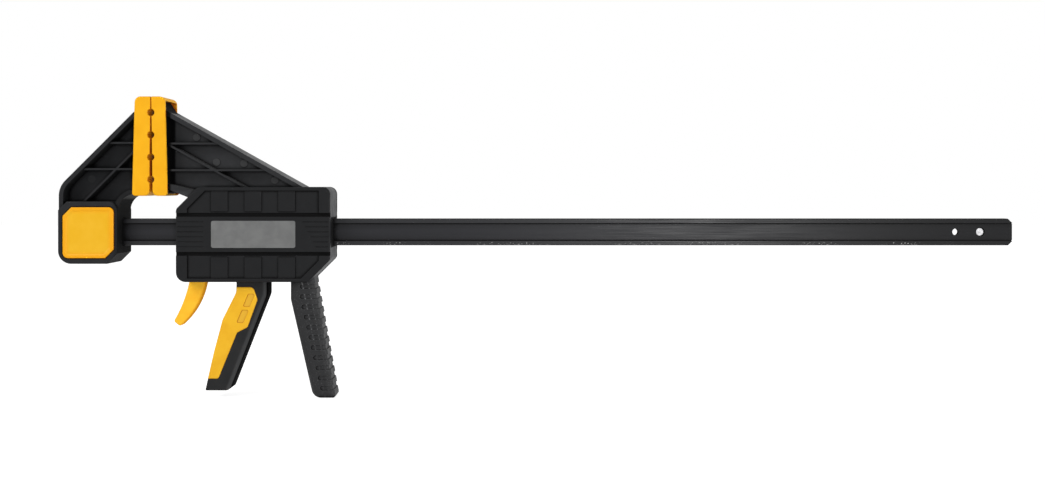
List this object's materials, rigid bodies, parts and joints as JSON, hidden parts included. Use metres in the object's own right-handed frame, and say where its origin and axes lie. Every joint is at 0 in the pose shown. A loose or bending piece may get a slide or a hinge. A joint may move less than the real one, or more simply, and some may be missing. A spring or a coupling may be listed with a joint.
{
  "type": "quick release bar clamp",
  "caption": "One-handed bar clamp: steel bar, fixed jaw with release button, and a sliding head with a grooved handle, squeeze lever and release trigger. Soft pads on both jaws.",
  "frame": {"origin": "on the bar's centre line, in the plane where the two pads meet when the clamp is closed", "axes": "+X along the bar from the pads to the stop pin, +Z from the bar up to the jaw tips, +Y from the front cover to the rear cover"},
  "size_m": [0.888, 0.042, 0.2797],
  "materials": {
    "bar_steel": "satin black",
    "bright_steel": "zinc plated",
    "spring_steel": "oiled",
    "black_plastic": "fine grain",
    "yellow_plastic": "satin",
    "pad_rubber": "soft matt",
    "grip_rubber": "soft matt",
    "label_grey": "matt film"
  },
  "bodies": {
    "bar": {"bar": "bar_steel", "stop_pins": "bright_steel", "fixed_jaw": "black_plastic", "fixed_jaw_pad": "pad_rubber", "jaw_back_cap": "black_plastic", "jaw_cap_screws": "bright_steel", "button_spring": "spring_steel"},
    "button": {"release_button": "yellow_plastic", "latch_plate": "bright_steel", "latch_rivets": "bright_steel"},
    "head": {"head_frame": "black_plastic", "front_cover": "black_plastic", "rear_cover": "black_plastic", "label_plate": "label_grey", "moving_jaw_pad": "pad_rubber", "cover_screws": "bright_steel", "lever_pivot_pin": "bright_steel", "drive_spring": "spring_steel", "brake_spring": "spring_steel"},
    "lever": {"squeeze_lever": "black_plastic", "lever_grip": "grip_rubber"},
    "trigger": {"release_trigger": "yellow_plastic", "brake_plate": "spring_steel"},
    "drive": {"drive_plates": "spring_steel"}
  },
  "joints": [
    {"name": "head_slide", "type": "slide", "parent": "bar", "child": "head", "axis": [1, 0, 0], "range_m": [0, 0.6027]},
    {"name": "lever_squeeze", "type": "hinge", "parent": "head", "child": "lever", "pos_m": [0.098, 0, 0.028], "axis": [0, -1, 0], "range_deg": [0, 14], "stiffness_Nm_per_rad": 0.9, "springref_deg": -20.05},
    {"name": "trigger_pull", "type": "hinge", "parent": "head", "child": "trigger", "pos_m": [0.0506, 0, 0.0355], "axis": [0, -1, 0], "range_deg": [0, 8], "stiffness_Nm_per_rad": 0.4, "springref_deg": -17.19, "deforming": ["brake_spring"]},
    {"name": "drive_step", "type": "slide", "parent": "head", "child": "drive", "axis": [1, 0, 0], "range_m": [0, 0.0027], "deforming": ["drive_spring"]},
    {"name": "button_press", "type": "slide", "parent": "bar", "child": "button", "axis": [0, 1, 0], "range_m": [0, 0.0035], "stiffness_N_per_m": 600, "springref_m": -0.006, "deforming": ["button_spring"]}
  ],
  "couplings": [
    {"joint": "drive_step", "follows": "lever_squeeze", "m_per_rad": 0.0108}
  ]
}
